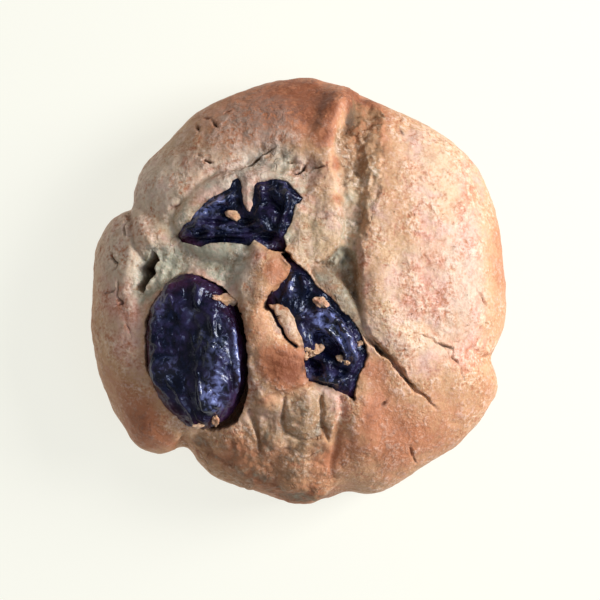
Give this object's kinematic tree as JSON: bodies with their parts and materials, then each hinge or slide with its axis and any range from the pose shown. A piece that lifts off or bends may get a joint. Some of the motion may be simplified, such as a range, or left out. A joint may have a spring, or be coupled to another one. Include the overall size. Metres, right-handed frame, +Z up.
{
  "type": "raisin cookie",
  "caption": "Thick round drop cookie with a domed, cracked top, a flat underside and large dark raisins set in its top.",
  "frame": {"origin": "middle of the bounding box at the flat baked underside", "axes": "+Z up through the domed top, +X right and +Y away when the cookie is seen from above with the long split on the right"},
  "size_m": [0.0562, 0.0577, 0.02],
  "materials": {
    "dough": "matte",
    "raisin": "gloss"
  },
  "bodies": {
    "root": {"dough": "dough", "raisin_left": "raisin", "raisin_upper": "raisin", "raisin_middle": "raisin"}
  },
  "joints": []
}
